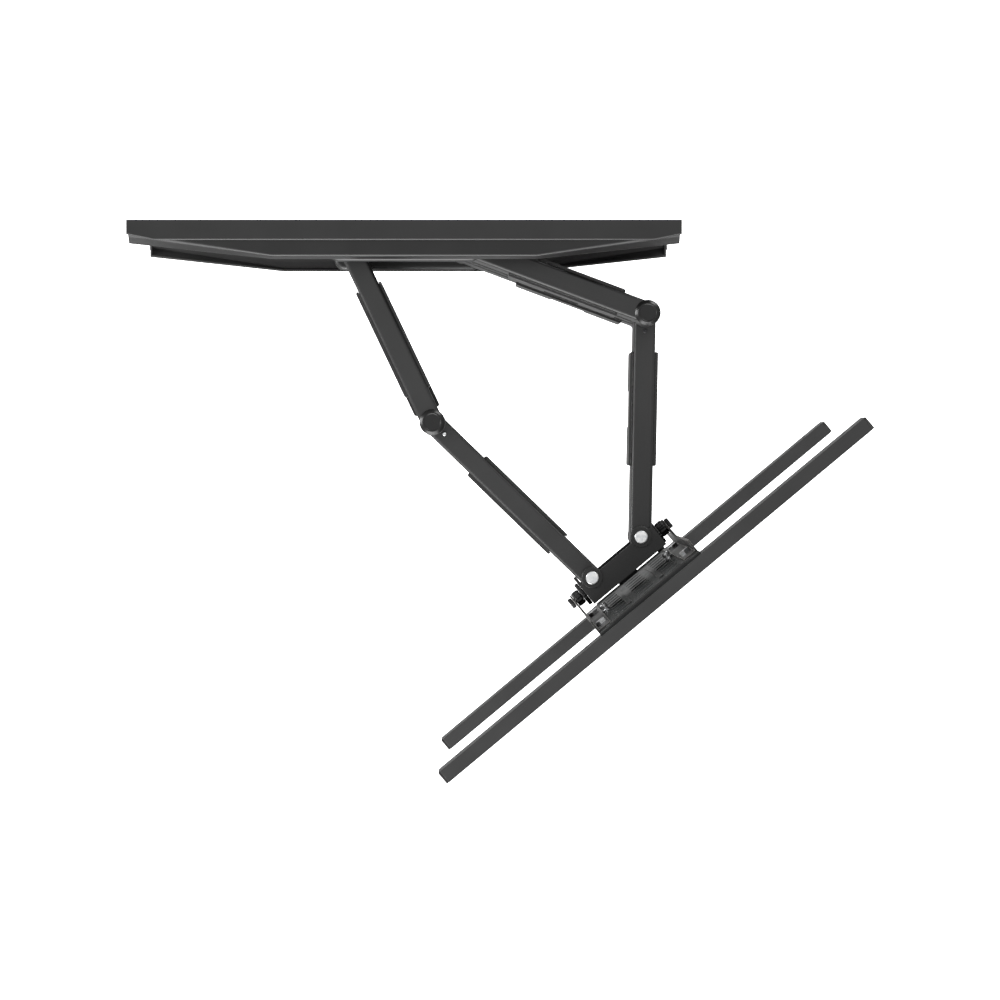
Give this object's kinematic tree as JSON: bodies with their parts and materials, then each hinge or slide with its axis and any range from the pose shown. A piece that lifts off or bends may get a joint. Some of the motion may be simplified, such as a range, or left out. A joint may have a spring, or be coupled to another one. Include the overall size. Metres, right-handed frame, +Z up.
{
  "type": "articulating television wall mount",
  "caption": "Wall mount for a flat screen: a slotted wall plate, two folding double-jointed arms side by side, a swivel head and a tilting frame whose rails take the screen.",
  "frame": {"origin": "centre of the wall plate's back face, on the wall", "axes": "+X to the right as seen from the room, -Y out from the wall into the room, +Z up"},
  "size_m": [0.903, 0.6803, 0.44],
  "materials": {
    "black_coat": "satin powder coat",
    "black_plastic": "fine grain",
    "bush_plastic": "smooth",
    "zinc": "bright zinc plate",
    "rubber": "matt"
  },
  "bodies": {
    "wall_side": {"wall_plate": "black_coat", "stiffener_top": "black_coat", "stiffener_bottom": "black_coat", "shoulder_bracket": "black_coat", "shoulder_bolt_left": "zinc", "shoulder_bolt_right": "zinc", "shoulder_nuts": "zinc", "shoulder_washers": "bush_plastic", "shoulder_spacers": "black_coat"},
    "upper_left": {"upper_arm_left_top": "black_coat", "upper_arm_left_bottom": "black_coat", "cable_cover_left_top": "black_plastic", "cable_cover_left_bottom": "black_plastic", "shoulder_bushes_left": "bush_plastic", "elbow_bolt_left": "zinc", "elbow_nut_left": "zinc", "elbow_washers_left": "bush_plastic", "elbow_cap_left_top": "black_plastic", "elbow_cap_left_bottom": "black_plastic"},
    "lower_left": {"forearm_left": "black_coat", "cable_cover_left_forearm": "black_plastic", "elbow_bush_left": "bush_plastic", "head_bush_left": "bush_plastic", "forearm_screw_left": "zinc"},
    "upper_right": {"upper_arm_right_top": "black_coat", "upper_arm_right_bottom": "black_coat", "cable_cover_right_top": "black_plastic", "cable_cover_right_bottom": "black_plastic", "shoulder_bushes_right": "bush_plastic", "elbow_bolt_right": "zinc", "elbow_nut_right": "zinc", "elbow_washers_right": "bush_plastic", "elbow_cap_right_top": "black_plastic", "elbow_cap_right_bottom": "black_plastic"},
    "lower_right": {"forearm_right": "black_coat", "cable_cover_right_forearm": "black_plastic", "elbow_bush_right": "bush_plastic", "head_bush_right": "bush_plastic", "forearm_screw_right": "zinc"},
    "head": {"head_bracket": "black_coat", "head_rivet_left": "zinc", "head_rivet_right": "zinc", "head_washers": "black_coat", "fork_washers": "bush_plastic", "head_buffer": "rubber", "head_bumper": "rubber", "tilt_bolt_left": "zinc", "tilt_bolt_right": "zinc", "friction_washers": "black_plastic", "tilt_barrels": "black_plastic"},
    "screen_frame": {"screen_plate": "black_coat", "tilt_stops": "zinc", "tilt_bracket_left": "black_coat", "tilt_bracket_right": "black_coat", "tilt_bracket_bolts": "zinc", "rail_top": "black_coat", "rail_bottom": "black_coat", "rail_bolts": "black_coat", "rail_end_caps": "black_plastic"},
    "knob_left": {"tilt_knob_left": "black_plastic"},
    "knob_right": {"tilt_knob_right": "black_plastic"}
  },
  "joints": [
    {"name": "left_shoulder", "type": "hinge", "parent": "wall_side", "child": "upper_left", "pos_m": [-0.0715, -0.025, 0], "axis": [0, 0, 1], "range_deg": [-55, 12]},
    {"name": "left_elbow", "type": "hinge", "parent": "upper_left", "child": "lower_left", "pos_m": [0.03389, -0.24695, 0], "axis": [0, 0, 1], "range_deg": [-10, 43]},
    {"name": "head_swivel", "type": "hinge", "parent": "lower_left", "child": "head", "pos_m": [0.23477, -0.44229, 0], "axis": [0, 0, 1], "range_deg": [-70, 16]},
    {"name": "right_shoulder", "type": "hinge", "parent": "wall_side", "child": "upper_right", "pos_m": [0.0715, -0.025, 0], "axis": [0, 0, 1], "range_deg": [-60, 13.5]},
    {"name": "right_elbow", "type": "hinge", "parent": "upper_right", "child": "lower_right", "pos_m": [0.30168, -0.11094, 0], "axis": [0, 0, 1], "range_deg": [-9.5, 41.5]},
    {"name": "tilt", "type": "hinge", "parent": "head", "child": "screen_frame", "pos_m": [0.27382, -0.42668, -0.045], "axis": [0.7683, 0.6401, 0], "range_deg": [-5, 15]},
    {"name": "knob_left_turn", "type": "hinge", "parent": "head", "child": "knob_left", "pos_m": [0.21197, -0.47821, -0.045], "axis": [0.7683, 0.6401, 0], "range_deg": [-90, 90]},
    {"name": "knob_right_turn", "type": "hinge", "parent": "head", "child": "knob_right", "pos_m": [0.33567, -0.37515, -0.045], "axis": [0.7683, 0.6401, 0], "range_deg": [-90, 90]}
  ],
  "couplings": [
    {"joint": "left_elbow", "follows": "left_shoulder", "ratio": -0.7608},
    {"joint": "head_swivel", "follows": "left_shoulder", "ratio": 1.259},
    {"joint": "right_shoulder", "follows": "left_shoulder", "ratio": 1.0803},
    {"joint": "right_elbow", "follows": "left_shoulder", "ratio": -0.7298}
  ]
}
